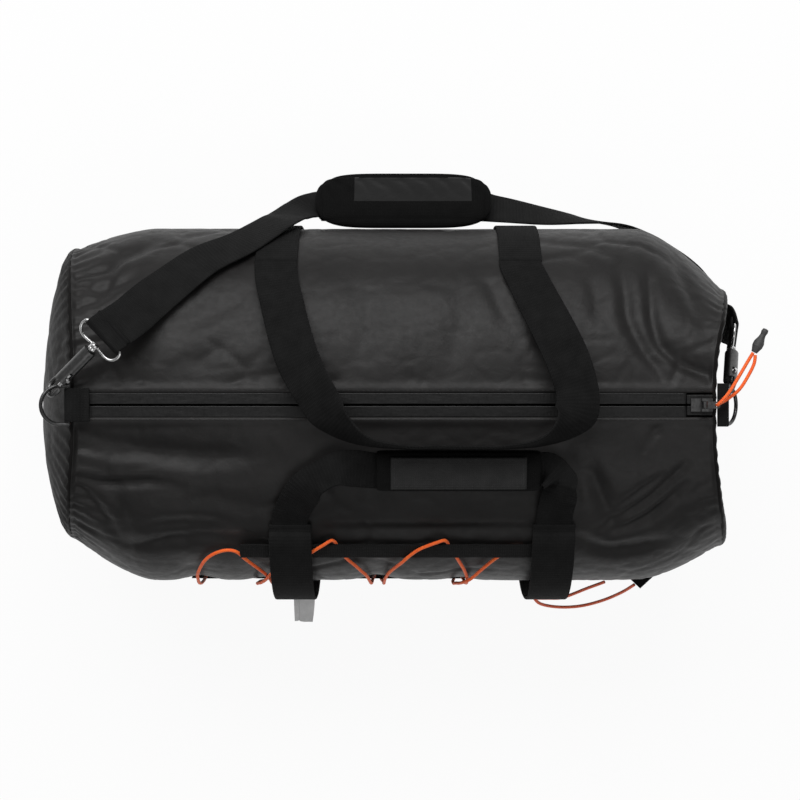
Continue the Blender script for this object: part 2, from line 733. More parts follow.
# Where the lace draws the near side in: place along the bag, depth and half-width
LACE_DENTS = [(-190, 5.0, 16), (-127, 3.5, 14), (-16, 5.0, 18), (66, 3.0, 14)]
SIDE_ROWS = 104
MOUTH_ROWS = 24
COLUMNS = 190
COLUMN_CROWDING = 0.22
DRAW_POWER = 1.5
HINGE_BELOW = 14
HINGE_ABOVE = 12
HINGE_ROUNDS = 10
SEAM_INSET = 0.3
SHELL_T = WALL - 0.6
# Heights between which the folds begin, the lace's dents begin and end, and the low ripples fade out
FOLDS_FROM = (190, 250)
DENTS_FROM = (130, 175)
DENTS_TO = (235, 275)
RIPPLES_FADE = (120, 200)
# Cloth lies flat this far from the end seams and from the base, and under the strap beside the widest line
SEAM_FLAT = 4
BASE_FLAT = 12
STRAP_FLAT = 28
STRAP_FROM = (-85, -55)
# Distances from the zip between which folds begin, the hem ends and the hem begins
ZIP_FLAT = (3, 12)
HEM_TO = (4.6, 7.5)
HEM_FROM = (0, 0.8)


def side_shell(side):
    far = side == "far"
    sign = SIGNS[side]
    left_draw, right_draw = DRAWS[side]
    spacing = np.linspace(-1, 1, COLUMNS)
    stations = spacing * (1 + COLUMN_CROWDING - COLUMN_CROWDING * spacing**2)
    columns = []
    for s in stations:
        u = max(0, (abs(s) * SEAM_HALF - SEAM_HALF + SHOULDER) / SHOULDER)
        a = HALF_WIDTH - (left_draw if s < 0 else right_draw) * u**DRAW_POWER
        y, z, bulge = half_section(a, SIDE_ROWS, ZIP_HALF + SEAM_GAP, MOUTH_ROWS)
        lean = LEANS[0] if s < 0 else LEANS[1]
        x = s * (SEAM_HALF - SEAM_INSET + lean * bulge)
        columns.append(stacked(x, sign * y, z))
    grid = np.stack(columns, axis=1)
    # The hinge line of the mouth rounds over where the ends draw in
    ease_rows(grid, SIDE_ROWS - HINGE_BELOW, SIDE_ROWS + HINGE_ABOVE, HINGE_ROUNDS)
    normals = grid_normals(grid) * -sign
    flat = grid.reshape(-1, 3)
    girth = run_along(grid[:, COLUMNS // 2])
    run = np.repeat(girth, COLUMNS)
    seam_left = np.linalg.norm(grid - grid[:, :1], axis=2).ravel()
    seam_right = np.linalg.norm(grid - grid[:, -1:], axis=2).ravel()
    seed = 1.0 if far else 2.0
    inward = fold_depth(flat) * fade(flat[:, 2], *FOLDS_FROM)
    inward += puckers(run, seam_left, LEFT_GATHERS, seed)
    inward += puckers(run, seam_right, RIGHT_GATHERS, seed + 3)
    inward += slack_at(flat * (0.6, 1, 1), SIDE_SLACK, seed)
    patchy = fade(noise_at(flat, 120, seed + 5), -0.25, 0.3)
    inward += patchy * crumple_at(flat * (0.8, 1, 1), BROAD_CRUMPLES, seed)
    inward += crumple_at(flat, FINE_CRUMPLES, seed + 2)
    if not far:
        held = fade(flat[:, 2], *DENTS_FROM) * (1 - fade(flat[:, 2], *DENTS_TO))
        for x, deep, reach in LACE_DENTS:
            inward += deep * bell(flat[:, 0] - x, reach) * held
    low_side = 1 - fade(flat[:, 2], *RIPPLES_FADE)
    ripple = np.sin(flat[:, 0] / RIPPLE_LENGTH + 5 * noise_at(flat, 90, seed + 8))
    inward += RIPPLE_DEPTH * low_side * (0.5 + 0.5 * ripple)
    edge = fade(np.minimum(seam_left, seam_right), 0, SEAM_FLAT) * fade(run, 0, BASE_FLAT)
    inward = np.clip(inward, -0.1, DEEPEST) * edge
    # The far side keeps its full width under the strap and its pad
    if far:
        inward *= 1 - bell(flat[:, 2] - WIDEST_Z, STRAP_FLAT) * fade(flat[:, 0], *STRAP_FROM)
    zip_gap = np.abs(flat[:, 1]) - ZIP_HALF
    inward *= fade(zip_gap, *ZIP_FLAT)
    hem = HEM * (1 - fade(zip_gap, *HEM_TO)) * fade(zip_gap, *HEM_FROM)
    offset = (hem - inward).reshape(grid.shape[:2])
    outer = grid + normals * offset[..., None]
    inner = outer - normals * SHELL_T
    uv = stacked(grid[..., 0], np.repeat(girth[:, None], COLUMNS, axis=1))
    piece = thick_sheet(side + "_shell", outer, inner, uv, shell_far if far else shell_near, far)
    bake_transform(piece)
    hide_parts(side + "_side_panel", side + "_mouth_panel")


side_shell("far")
side_shell("near")

# Domed end panels, gathered at their seams
END_ROWS = 72
END_MOUTH_ROWS = 22
RIM_REACH = 160
# Rows of the rim that round over at the mouth's two hinge lines
RIM_HINGE_FIRST = 60
RIM_HINGE_LAST = 130
RIM_HINGE_ROUNDS = 6
# Rings from the rim inwards, closer together at the rim
RINGS = np.concatenate([np.linspace(1, 0.9, 14), np.linspace(0.88, 0.02, 36)])
ROUND_FROM = 0.965
LEAN_TO = 0.92
END_T = 1.2
END_DEEPEST = 8


def end_shell(side):
    left = side == "left"
    s = -1 if left else 1
    lean, dome = (LEANS[0], LEFT_DOME) if left else (LEANS[1], RIGHT_DOME)
    rim = []
    for part, sign in SIGNS.items():
        a = HALF_WIDTH - DRAWS[part][0 if left else 1]
        y, z, bulge = half_section(a, END_ROWS, 0, END_MOUTH_ROWS)
        half = stacked(bulge, sign * y, z)
        rim = half if sign > 0 else np.vstack([rim, half[-2::-1]])
    floor_y = np.linspace(-BASE_HALF, BASE_HALF, 30)[1:-1]
    floor_line = stacked(np.zeros(len(floor_y)), floor_y, np.zeros(len(floor_y)))
    rim = np.vstack([rim, floor_line])
    ease_rows(rim[:, 1:], RIM_HINGE_FIRST, RIM_HINGE_LAST, RIM_HINGE_ROUNDS)
    run = run_along(rim[:, 1:])

    def face(extra):
        loops = []
        for r in RINGS:
            past = max(0, (r - ROUND_FROM) / (1 - ROUND_FROM))
            round_over = extra * math.sqrt(max(0, 1 - past**2))
            x = SEAM_HALF + SEAM_GAP + lean * rim[:, 0] * min(1, r / LEAN_TO) ** 2 + round_over
            x = s * (x + dome * (1 - r * r))
            loops.append(stacked(x, rim[:, 1] * r, WIDEST_Z + (rim[:, 2] - WIDEST_Z) * r))
        return np.array(loops)

    outer = face(WALL)
    flat = outer.reshape(-1, 3)
    seam = np.repeat((1 - RINGS) * RIM_REACH, len(rim))
    along = np.tile(run, len(RINGS))
    seed = 3.0 if left else 5.0
    depth = puckers(along, seam, END_GATHERS[side], seed + 1)
    depth += slack_at(flat, END_SLACK, seed + 6) * fade(seam, 0, 20)
    depth += crumple_at(flat, END_CRUMPLES, seed) * fade(seam, 2, 20)
    depth = np.clip(depth, -0.2, END_DEEPEST)
    outer = outer - np.array([s, 0, 0]) * depth.reshape(outer.shape[:2])[..., None]
    inner = np.minimum(face(0) * s, outer * s - END_T) * s
    inner[..., 1:] = outer[..., 1:]
    count = outer.shape[0] * outer.shape[1]
    n = len(rim)
    faces = grid_faces(len(RINGS), n, 0, closed=True, flip=left)
    faces += grid_faces(len(RINGS), n, count, closed=True, flip=not left)
    for j in range(n):
        k = (j + 1) % n
        quad = (j, k, k + count, j + count)
        faces.append(quad if left else quad[::-1])
    last = count - n
    cap = tuple(range(last, last + n))
    faces.append(cap[::-1] if left else cap)
    under = tuple(i + count for i in cap)
    faces.append(under if left else under[::-1])
    points = np.vstack([outer.reshape(-1, 3), inner.reshape(-1, 3)])
    piece = make_mesh(side + "_end_shell", points, faces, shell_end, points[:, 1:])
    finish_piece(piece, "bag", "shell_fabric", side + "_end_panel")


end_shell("left")
end_shell("right")


# Base: a flat panel with turned edges
def base_shell():
    xs = np.linspace(-SEAM_HALF, SEAM_HALF, 120)
    ys = np.linspace(-BASE_HALF + 0.2, BASE_HALF - 0.2, 60)
    grid = np.stack(np.meshgrid(xs, ys), axis=-1)
    edge = np.minimum(SEAM_HALF - np.abs(grid[..., 0]), BASE_HALF - np.abs(grid[..., 1]))
    quilt = 0.4 * (1 - fade(edge, 0, 3))
    outer = np.concatenate([grid, quilt[..., None]], axis=-1)
    inner = np.concatenate([grid, np.full(quilt.shape, WALL)[..., None]], axis=-1)
    piece = thick_sheet("base_shell", outer, inner, grid, shell_base, True)
    finish_piece(piece, "bag", "shell_fabric", "base_panel")


base_shell()

# Zip: two laminated tapes over rows of coil teeth
TAPE_LEFT = -SEAM_HALF + 3
TAPE_RIGHT = SEAM_HALF - 25
TAPE_T = 1.2
TAPE_ROWS = 15
SLIT_LIP = 0.95
SEAM_Y = ZIP_HALF + 2.6
# A tooth of the coil: distance from the slit's middle, half-length and how far the corners are cut
TOOTH = ((0.95, 0.35, 0.5), (1.35, 0.62, 0.0), (2.9, 0.62, 0.0), (3.3, 0.35, 0.5))
TOOTH_PITCH = 1.7
TOOTH_LOW = 1.8
TOOTH_HIGH = 0.1


def tape_sheet(name, xs, outer_y, sign, dip, thick):
    ys = np.linspace(SLIT_LIP, outer_y, TAPE_ROWS)
    height = top_z(ys)[:, None] - dip[None, :]
    grid = stacked(xs[None, :], sign * ys[:, None], height)
    under = grid - np.array([0, 0, thick])
    return thick_sheet(name, grid, under, grid[..., :2], zip_film, sign > 0)


def zip_side(side):
    sign = SIGNS[side]
    body = side + "_mouth"
    xs = np.linspace(TAPE_LEFT, TAPE_RIGHT, 240)
    dip = np.maximum(0, -0.18 * np.sin(xs / 23) * np.sin(xs / 61 + sign))
    tape = tape_sheet(side + "_tape_look", xs, ZIP_HALF, sign, dip, TAPE_T - 0.3)
    finish_piece(tape, body, "zip_tape", side + "_zip_tape")
    points = []
    faces = []
    coil_top = BAG_HEIGHT - TAPE_T - 2 * SEAM_GAP
    for x in np.arange(TAPE_LEFT + 1, TAPE_RIGHT - 1, TOOTH_PITCH):
        faces += capped_faces(len(TOOTH), 4, len(points), flip=sign > 0)
        for y, reach, corner in TOOTH:
            low = coil_top - TOOTH_LOW + corner
            high = coil_top - TOOTH_HIGH - corner
            points += [(x - reach, sign * y, low), (x + reach, sign * y, low),
                       (x + reach, sign * y, high), (x - reach, sign * y, high)]
    coil = make_mesh(side + "_coil_look", points, faces, zip_teeth, np.asarray(points)[:, :2])
    finish_piece(coil, body, "zip_coil", side + "_zip_coil")
    line_x = np.arange(TAPE_LEFT, SEAM_HALF - 4, 3.0)
    up = np.tile(top_normal(sign * 14), (len(line_x), 1))
    line = stacked(line_x, sign * SEAM_Y, float(top_z(SEAM_Y)) + HEM - 0.1)
    seam = stitches(side + "_zip_stitches", [(line, up)], thread)
    finish_piece(seam, body, "zip_tape")


zip_side("far")
zip_side("near")

# Closed end of the zip, sewn to the right end panel
END_TRIM = 1.6
BAR_W = 0.6


def closed_end(side, *nodes):
    sign = SIGNS[side]
    xs = np.linspace(TAPE_RIGHT + 0.5, SEAM_HALF, 24)
    dip = 0.12 * (1 + np.sin(xs / 3.1 + sign))
    piece = tape_sheet(side + "_closed_end", xs, ZIP_HALF - END_TRIM, sign, dip, TAPE_T - 0.4)
    finish_piece(piece, "bag", "zip_tape", *nodes)


closed_end("far", "zip_closed_end")
closed_end("near")
bar_y = np.linspace(-SLIT_LIP - 1, SLIT_LIP + 1, 7)
bar_line = stacked(SEAM_HALF - BAR_W / 2, bar_y, BAG_HEIGHT - TAPE_T / 2)
bar_up = np.tile((0, 0, 1.0), (len(bar_y), 1))
bar = ribbon("closed_end_bar", bar_line, bar_up, BAR_W, TAPE_T / 2, zip_film)
finish_piece(bar, "bag", "zip_tape")

# Handles, along the same routes as their solids: from the leg's middle, half-width, lift and roll
FAR_LEG = [(138, 0.65, 0), (131, 1, 0), (116, 4, 0), (97, 10, 2), (67, 18, 8), (38, 26, 22), (9, 33, 44),
           (-14, 34, 64), (-32, 34, 80), (-38, 33.5, 86)]
FAR_LEFT_LEG = [(x, *p) for x, p in zip((0, 0, 2, 7, 15, 25, 41, 57, 84, 120), FAR_LEG)]
FAR_RIGHT_LEG = [(x, *p) for x, p in zip((0, 0, 6, 14, 28, 40, 47, 42, 18, -20), FAR_LEG)]
NEAR_LEFT_LEG = [(0, -114, 0.5, 0), (0, -107, 1.2, 0), (3, -98, 4.5, 0), (11, -84, 12, 20), (24, -69, 19, 45),
                 (42, -59, 20, 40), (60, -58, 15, 15), (78, -60, 12, 0), (100, -60, 12, 0)]
NEAR_RIGHT_LEG = [(0, -114, 0.5, 0), (0, -107, 1.2, 0), (0.5, -98, 4.5, 0), (2, -89, 10, 15),
                  (3, -79, 16.5, 40), (2, -69.5, 19.5, 58), (-3, -62.5, 18, 45), (-9, -60, 13.5, 15),
                  (-15, -60, 12, 0), (-36, -60, 12, 0)]


def leg_points(leg, x):
    return [(x + p[0], p[1], float(top_z(p[1])) + p[2] + WEB_LIFT) for p in leg]


def leg_normals(leg, side, turn_to):
    rows = []
    for p in leg:
        roll = math.radians(p[3])
        sideways = np.array([turn_to * math.sin(roll) * math.sin(roll / 2) * 0.6, side * math.sin(roll), 0])
        rows.append(unit(top_normal(p[1]) * math.cos(roll) + sideways))
    return rows


def handle(name, left, left_x, right, right_x, side, middle, width, body):
    points = leg_points(left, left_x) + middle + leg_points(right, right_x)[::-1]
    normals = leg_normals(left, side, 1) + [unit((0, side, 0.1)) for _ in middle]
    normals += leg_normals(right, side, -1)[::-1]
    line = smooth_line(points, 10)
    piece = ribbon(name + "_look", line, smooth_line(normals, 10), width, WEB_T, web_dark)
    finish_piece(piece, body, "webbing", name)


BIGHT = [(40, -38.5, float(top_z(38.5)) + 33.5 + WEB_LIFT)]
FAR_LEFT_X = FAR_CENTRE - HANDLE_SPAN / 2
FAR_RIGHT_X = FAR_CENTRE + HANDLE_SPAN / 2
handle("far_handle_webbing", FAR_LEFT_LEG, FAR_LEFT_X, FAR_RIGHT_LEG, FAR_RIGHT_X, -1, BIGHT, WEB_W,
       "far_handle")
handle("near_handle_webbing", NEAR_LEFT_LEG, NEAR_LEFT_X, NEAR_RIGHT_LEG, NEAR_RIGHT_X, 1, [], WEB_W - 6,
       "near_handle")

# Sewn straps down the sides
STRAP_FOOT = 14.0
FAR_TOP = float(top_z(138)) - 2
NEAR_TOP = float(top_z(114)) - 2
# The near straps stand off the side between their ends, over the lace
STRAP_CLOSE = 0.3
STRAP_STAND = 16
STRAP_BOW = 0.28


def near_lift(z):
    t = (z - STRAP_FOOT) / (NEAR_TOP - STRAP_FOOT)
    return STRAP_CLOSE + STRAP_STAND * max(0.0, math.sin(math.pi * t)) ** STRAP_BOW


# The strap's top runs on over the start of the handle's leg and bends with it
LEG_LAP = 3.0
LAP_LIFT = 0.25


def side_strap(name, x, sign, top, lift, leg):
    share_of_way = (1 - np.cos(np.linspace(0, math.pi, 70))) / 2
    points = []
    normals = []
    for z in STRAP_FOOT + (top - STRAP_FOOT) * share_of_way:
        place, normal = skin_point(z, lift(z) + WEB_T / 2)
        points.append((x, sign * place[0], place[1]))
        normals.append((0, sign * normal[0], normal[1]))
    leg_y = abs(leg[0][1])
    for y in (leg_y, leg_y - LEG_LAP):
        up = top_normal(sign * y)
        on_leg = np.array([x, sign * y, float(top_z(y)) + leg[0][2] + WEB_LIFT])
        points.append(tuple(on_leg + LAP_LIFT * up))
        normals.append(tuple(up))
    piece = ribbon(name + "_look", points, normals, WEB_W, WEB_T, web_sewn)
    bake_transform(piece)
    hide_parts(name)


for word, far_x, near_x in (("left", FAR_LEFT_X, NEAR_LEFT_X), ("right", FAR_RIGHT_X, NEAR_RIGHT_X)):
    side_strap("far_strap_" + word, far_x, 1, FAR_TOP, lambda z: 0.5, FAR_LEFT_LEG)
    side_strap("near_strap_" + word, near_x, -1, NEAR_TOP, near_lift, NEAR_LEFT_LEG)

# Shoulder strap, folded round the eye of each hook
RING_HALF = 17.8
RING_STRAIGHT = 8.0
CLAW_TURN = math.radians(15)
LEFT_BAR = np.array([-SEAM_HALF - 2, 0, BAG_HEIGHT + 7])
RIGHT_BAR = np.array([SEAM_HALF + 11.5, 0, BAG_HEIGHT - 13])
LEFT_LIFT = math.radians(20)
RIGHT_DROOP = math.radians(55)
CLAW_OUT = RING_STRAIGHT + RING_HALF * math.sin(CLAW_TURN)
CLAW_SIDE = RING_HALF * math.cos(CLAW_TURN)
LEFT_CLAW = LEFT_BAR + np.array(
    [-CLAW_OUT * math.cos(LEFT_LIFT), CLAW_SIDE, CLAW_OUT * math.sin(LEFT_LIFT)])
RIGHT_CLAW = RIGHT_BAR + np.array(
    [CLAW_OUT * math.cos(RIGHT_DROOP), CLAW_SIDE, -CLAW_OUT * math.sin(RIGHT_DROOP)])
LEFT_WAY = unit((0.70, 0.67, 0.25))
RIGHT_WAY = unit((0.16, 0.64, -0.754))
EYE_BAR = 67.8
WRAP_R = 2.8


def on_top(x, y, lift):
    return (x, y, float(top_z(y)) + lift)


def beside(x, out, up):
    return (x, HALF_WIDTH + out, WIDEST_Z + up * TOP_RISE)


def wrap(place, way, face):
    face = square_to(np.asarray(face, float), way)
    steps = [(EYE_BAR + 13, -1, 0, -1), (EYE_BAR + 4, -1, 0, -1),
             (EYE_BAR - 0.7 * WRAP_R, -0.72, -0.7, -0.72), (EYE_BAR - WRAP_R, 0, -1, 0),
             (EYE_BAR - 0.7 * WRAP_R, 0.72, -0.7, 0.72), (EYE_BAR + 4, 1, 0, 1)]
    points = [tuple(place + way * p[0] + face * p[1] * WRAP_R) for p in steps]
    normals = [tuple(unit(way * p[2] + face * p[3])) for p in steps]
    return points, normals


PAD_FACE = unit((0, 0.6, 0.8))
STRAP_ROUTE = [on_top(-240, 80, 26), on_top(-226, 95, 14), on_top(-206, 113, 8), on_top(-178, 136, 7.5),
               on_top(-144, 154, 9), beside(-112, 3, 0.39), beside(-102, 11, 0.2), beside(-92, 18, 0.07),
               beside(-80, 23, -0.01), beside(-55, 24, -0.03), beside(70, 24, -0.03), beside(105, 21, -0.03),
               beside(150, 15, -0.06), beside(185, 12, -0.1), beside(210, 9.5, -0.155), beside(233, 6, -0.21),
               beside(259, -3.5, -0.275), beside(282, -15, -0.315), beside(302, -28, -0.33),
               beside(318, -44, -0.315), beside(330.5, -68, -0.27), beside(330, -83, -0.18),
               beside(328.5, -91, -0.06), beside(328, -94, 0.075), beside(327.5, -96, 0.225),
               beside(327.5, -99, 0.35), beside(327.5, -105, 0.45)]
STRAP_FACES = [(0.25, 0.25, 0.93), (0.3, 0.35, 0.88), (0.1, 0.5, 0.86), (0, 0.66, 0.75), (0, 0.8, 0.6),
               (0, 0.93, 0.37), (0, 0.88, 0.47), (0, 0.76, 0.65), (0, 0.65, 0.76), tuple(PAD_FACE),
               tuple(PAD_FACE), (0, 0.7, 0.71), (0, 0.85, 0.53), (0, 0.95, 0.3), (0.05, 0.99, 0.12),
               (0.15, 0.98, 0.05), (0.3, 0.95, 0), (0.45, 0.89, 0), (0.58, 0.81, 0), (0.72, 0.69, 0),
               (0.95, 0.3, 0), (1, 0.05, 0), (1, 0, 0), (1, 0, 0), (1, 0, 0), (1, -0.05, 0.05),
               (0.99, -0.1, 0.1)]
left_wrap, left_wrap_faces = wrap(LEFT_CLAW, LEFT_WAY, (0, 0, 1))
right_wrap, right_wrap_faces = wrap(RIGHT_CLAW, RIGHT_WAY, (1, 0, 0))
strap_line = smooth_line(left_wrap + STRAP_ROUTE + right_wrap[::-1], 8)
strap_faces = smooth_line(left_wrap_faces + STRAP_FACES + right_wrap_faces[::-1], 8)
finish_piece(ribbon("strap_webbing_look", strap_line, strap_faces, WEB_W, WEB_T, web_strap), "shoulder_strap",
             "webbing", "strap_webbing")

# Swivel eyes: a collar and a bent wire that holds the webbing
EYE_D = 2.6
COLLAR_X = 48.8
COLLAR_L = 8.0
POST_R = 2.0
COLLAR_PROFILE = [(-7, 0.01), (-7, POST_R), (0, POST_R), (0, 3.3), (0.7, 4), (3.3, 4), (3.8, 3.5),
                  (4.3, 4), (7.3, 4), (COLLAR_L, 3.3), (COLLAR_L, 0.01)]
EYE_LOBE = [(54.8, 2), (54.3, 8), (53.8, 14), (55.3, 19), (59.8, 22.5), (64.8, 22.5), (67.2, 21.3),
            (EYE_BAR, 18.5)]


def cut_corners(points, rounds):
    points = np.asarray(points, float)
    for _ in range(rounds):
        first = 0.75 * points[:-1] + 0.25 * points[1:]
        second = 0.25 * points[:-1] + 0.75 * points[1:]
        points = np.vstack([points[:1], np.stack([first, second], axis=1).reshape(-1, 3), points[-1:]])
    return points


def lathe(name, place, way, profile, material, sides=40):
    first = square_to(ANY_WAY, way)
    second = np.cross(way, first)
    turns = round_turns(sides)
    spokes = np.cos(turns)[:, None] * first + np.sin(turns)[:, None] * second
    points = np.vstack([place + way * x + r * spokes for x, r in profile])
    uv = np.array([(x, r * q) for x, r in profile for q in turns])
    return make_mesh(name, points, grid_faces(len(profile), sides, closed=True), material, uv)


def hook_eye(node, place, way, face):
    plane = square_to(np.asarray(face, float), way)
    across = np.cross(plane, way)
    half = [place + way * p[0] + across * p[1] for p in EYE_LOBE]
    other = [place + way * p[0] - across * p[1] for p in EYE_LOBE[::-1]]
    wire = tube(node + "_wire", cut_corners(half + other, 3), EYE_D, bright_steel, 16)
    finish_piece(wire, "shoulder_strap", "bright_steel", node)
    collar = lathe(node + "_collar", place + way * COLLAR_X, way, COLLAR_PROFILE, bright_steel)
    finish_piece(collar, "shoulder_strap", "bright_steel")


hook_eye("left_hook_eye", LEFT_CLAW, LEFT_WAY, (0, 0, 1))
hook_eye("right_hook_eye", RIGHT_CLAW, RIGHT_WAY, (1, 0, 0))


# Webbing tabs, folded over in the XZ plane
def folded_tab(node, place, low, high, centre, radius, side, width):
    turns = np.radians([-60, -30, 0, 30, 60])
    bend = [(centre + side * radius * math.cos(q), radius * math.sin(q)) for q in turns]
    middle = (low[-1][1] + high[0][1]) / 2
    bend = [(x, middle + z) for x, z in bend]
    flat = np.array(low + bend + high, float)
    line = smooth_line([place + np.array([x, 0, z]) for x, z in flat], 5)
    ways = directions(line)
    normals = np.cross(ways, np.array([0, side, 0.0]))
    piece = ribbon(node + "_look", line, normals, width, WEB_T, web_sewn)
    finish_piece(piece, "bag", "webbing", node)


FOLD = 3.3
folded_tab("left_ring_tab", LEFT_BAR, [(18, -5.1), (13, -5.0), (7, -4.3), (2, -FOLD), (0, -FOLD)],
           [(0, FOLD), (3, 3.1), (8, 1.2), (13, -1.5), (18, -2.5)], 0, FOLD, -1, 31.0)
folded_tab("right_ring_tab", RIGHT_BAR, [(-5.5, -FOLD), (-2, -FOLD), (0, -FOLD)],
           [(0, FOLD), (-2, FOLD), (-5.5, FOLD)], 0, FOLD, 1, 18.0)
END_TAB = np.array([SEAM_HALF + WALL + 1.6, 0, RIGHT_BAR[2] + 4.7])
folded_tab("right_end_tab", END_TAB, [(0, 1.1), (4, 1.1), (8.1, 1.1)], [(8.1, 3.7), (4, 3.7), (0, 3.7)],
           8.1, 1.3, 1, WEB_W)


# The corner of webbing that the longer tail ends in: its place, its outline and its layers' heights and sizes
TAIL_TAB_AT = (248, -185, 147)
TAIL_TAB_EDGE = np.array([(0, 0), (13, 12), (12.2, 13.4), (-7.5, 9.2), (-9.5, 9)], float)
TAIL_TAB_LAYERS = ((0, 0.9), (0.4, 0.98), (1.5, 1.0), (2.6, 0.98), (3.0, 0.9))


def tail_tab():
    count = len(TAIL_TAB_EDGE)
    middle = TAIL_TAB_EDGE.mean(axis=0)
    loops = []
    for z, size in TAIL_TAB_LAYERS:
        flat = middle + (TAIL_TAB_EDGE - middle) * size
        loops.append(np.column_stack([flat, np.full(count, z)]) + TAIL_TAB_AT)
    points = np.vstack(loops)
    faces = capped_faces(len(loops), count)
    piece = make_mesh("tail_tab_look", points, faces, web_dark, points[:, :2], flat=True)
    finish_piece(piece, "bag", "webbing", "tail_tab")


tail_tab()


# Silver tab: a folded strip with a crease beside its left edge
SILVER_W = 21.0
SILVER_L = 32.0
SILVER_T = 1.2
SILVER_Z = 152.0
SILVER_DROP = math.radians(36)


def silver_tab():
    out = skin_point(SILVER_Z, near_lift(SILVER_Z) + WEB_T + 0.3)[0][0]
    u, v = np.meshgrid(np.linspace(0, 1, 40), np.linspace(0, 1, 30))
    x = u * (SILVER_W - 3.0 * v**1.5)
    crease = 1.1 * bell(x - 4.2, 0.9)
    bow = 0.5 * np.sin(math.pi * v) * np.sin(math.pi * u) + 0.3 * np.sin(9 * u + 3 * v) * v
    way = np.array([0, -math.cos(SILVER_DROP), -math.sin(SILVER_DROP)])
    up = np.array([0, -math.sin(SILVER_DROP), math.cos(SILVER_DROP)])
    low = (np.array([NEAR_LEFT_X - 4, -out, SILVER_Z]) + x[..., None] * np.array([1.0, 0, 0])
           + (v * (SILVER_L - 1.5 * (1 - u)))[..., None] * way)
    inner = low + (bow + 0.1)[..., None] * up
    outer = inner + (SILVER_T - crease)[..., None] * up
    uv = stacked(x, v * SILVER_L)
    piece = thick_sheet("reflective_tab_look", outer, inner, uv, silver_cloth, True)
    finish_piece(piece, "bag", "silver_fabric", "reflective_tab")


silver_tab()

# Shoulder pad: a stuffed, crowned form with a bound edge and a wrinkled cover panel on its outside
PAD_L = 176.0
PAD_W = 71.0
PAD_T = 14.0
PAD_SIDES = 64
PAD_SEAM = 7
PANEL_LEFT = -48
PANEL_RIGHT = 68
PANEL_LOW = -4
PANEL_HIGH = PAD_W / 2 - 9
PAD_ACROSS = np.cross(PAD_FACE, (1, 0, 0))
PAD_CENTRE = np.array(beside(10, 24, -0.03)) + PAD_FACE * (PAD_T / 2 + WEB_T / 2 + 3.75) - PAD_ACROSS * 3.5


def pad_form():
    us = -np.cos(np.linspace(0, math.pi, 110)) * 0.998
    qs = round_turns(PAD_SIDES)
    loops = []
    uv = []
    for u in us:
        w = PAD_W / 2 * (1 - abs(u) ** 5) ** 0.4
        t = PAD_T / 2 * (1 - abs(u) ** 6) ** 0.5
        across = w * signed_power(np.cos(qs), 0.7)
        lift = t * signed_power(np.sin(qs), 0.8)
        along = PAD_L / 2 * u
        rim = np.minimum(PAD_W / 2 - np.abs(across), PAD_L / 2 - abs(along))
        groove = 1.1 * bell(rim - PAD_SEAM, 1.6) * (lift > 0)
        ripple = 0.9 * np.sin((along + 0.8 * across) / 3.4 + 2 * noise.noise(Vector((along / 18, 3, 1))))
        panel = fade(rim, 9, 13) * (lift > 0) * fade(across, -6, 2)
        sag = 0.8 * (0.5 + noise.noise(Vector((along / 30, 1, 2)))) * (lift > 0)
        lift = lift - groove + np.minimum(0, ripple) * panel - sag * panel
        middle = PAD_CENTRE + np.array([along, 0, 0])
        loops.append(middle + PAD_ACROSS * across[:, None] + PAD_FACE * lift[:, None])
        uv.append(stacked(along, across))
    faces = capped_faces(len(us), PAD_SIDES, flip=True)
    piece = make_mesh("shoulder_pad_look", np.vstack(loops), faces, pad_cloth, np.vstack(uv))
    piece.data.materials.append(pad_panel_cloth)
    for polygon in piece.data.polygons:
        away = np.array(polygon.center) / MM - PAD_CENTRE
        across = float(away @ PAD_ACROSS)
        inside = PANEL_LOW < across < PANEL_HIGH and PANEL_LEFT < away[0] < PANEL_RIGHT
        if inside and float(away @ PAD_FACE) > 2:
            polygon.material_index = 1
    finish_piece(piece, "shoulder_strap", "padding", "shoulder_pad")


pad_form()

# Grip wrap of the near handle: a soft sleeve, with a closing flap on its top
GRIP_L = 150.0
GRIP_W = 38.0
GRIP_T = 20.0
GRIP_SIDES = 56
GRIP_ROUND = 0.62
GRIP_CENTRE = np.array([60.0, -60.0, float(top_z(60)) + 12 + WEB_LIFT])
GRIP_UP = top_normal(-60.0)
GRIP_SIDE = np.cross(GRIP_UP, (1, 0, 0))
FLAP_L = GRIP_L - 26
FLAP_W = GRIP_W - 8
FLAP_T = 1.6
FLAP_SEAM = 3.2


def grip_form():
    us = -np.cos(np.linspace(0, math.pi, 90))
    qs = round_turns(GRIP_SIDES)
    loops = []
    uv = []
    for u in us:
        squeeze = (1 - abs(u) ** 14) ** 0.3
        w = GRIP_W / 2 * (0.86 + 0.14 * squeeze)
        t = GRIP_T / 2 * (0.62 + 0.38 * squeeze)
        across = w * signed_power(np.cos(qs), GRIP_ROUND)
        lift = t * signed_power(np.sin(qs), GRIP_ROUND)
        along = GRIP_L / 2 * u
        crease = 0.5 * noise.noise(Vector((along / 14, 2, 5))) - 0.4
        lift = np.where(lift > 0, np.minimum(lift, GRIP_T / 2 - 0.1), lift + crease * (np.abs(lift) > 2))
        middle = GRIP_CENTRE + np.array([along, 0, 0])
        loops.append(middle + GRIP_SIDE * across[:, None] + GRIP_UP * lift[:, None])
        uv.append(stacked(along, across + lift))
    faces = capped_faces(len(us), GRIP_SIDES)
    piece = make_mesh("handle_grip_look", np.vstack(loops), faces, grip_cloth, np.vstack(uv))
    finish_piece(piece, "near_handle", "padding", "handle_grip")


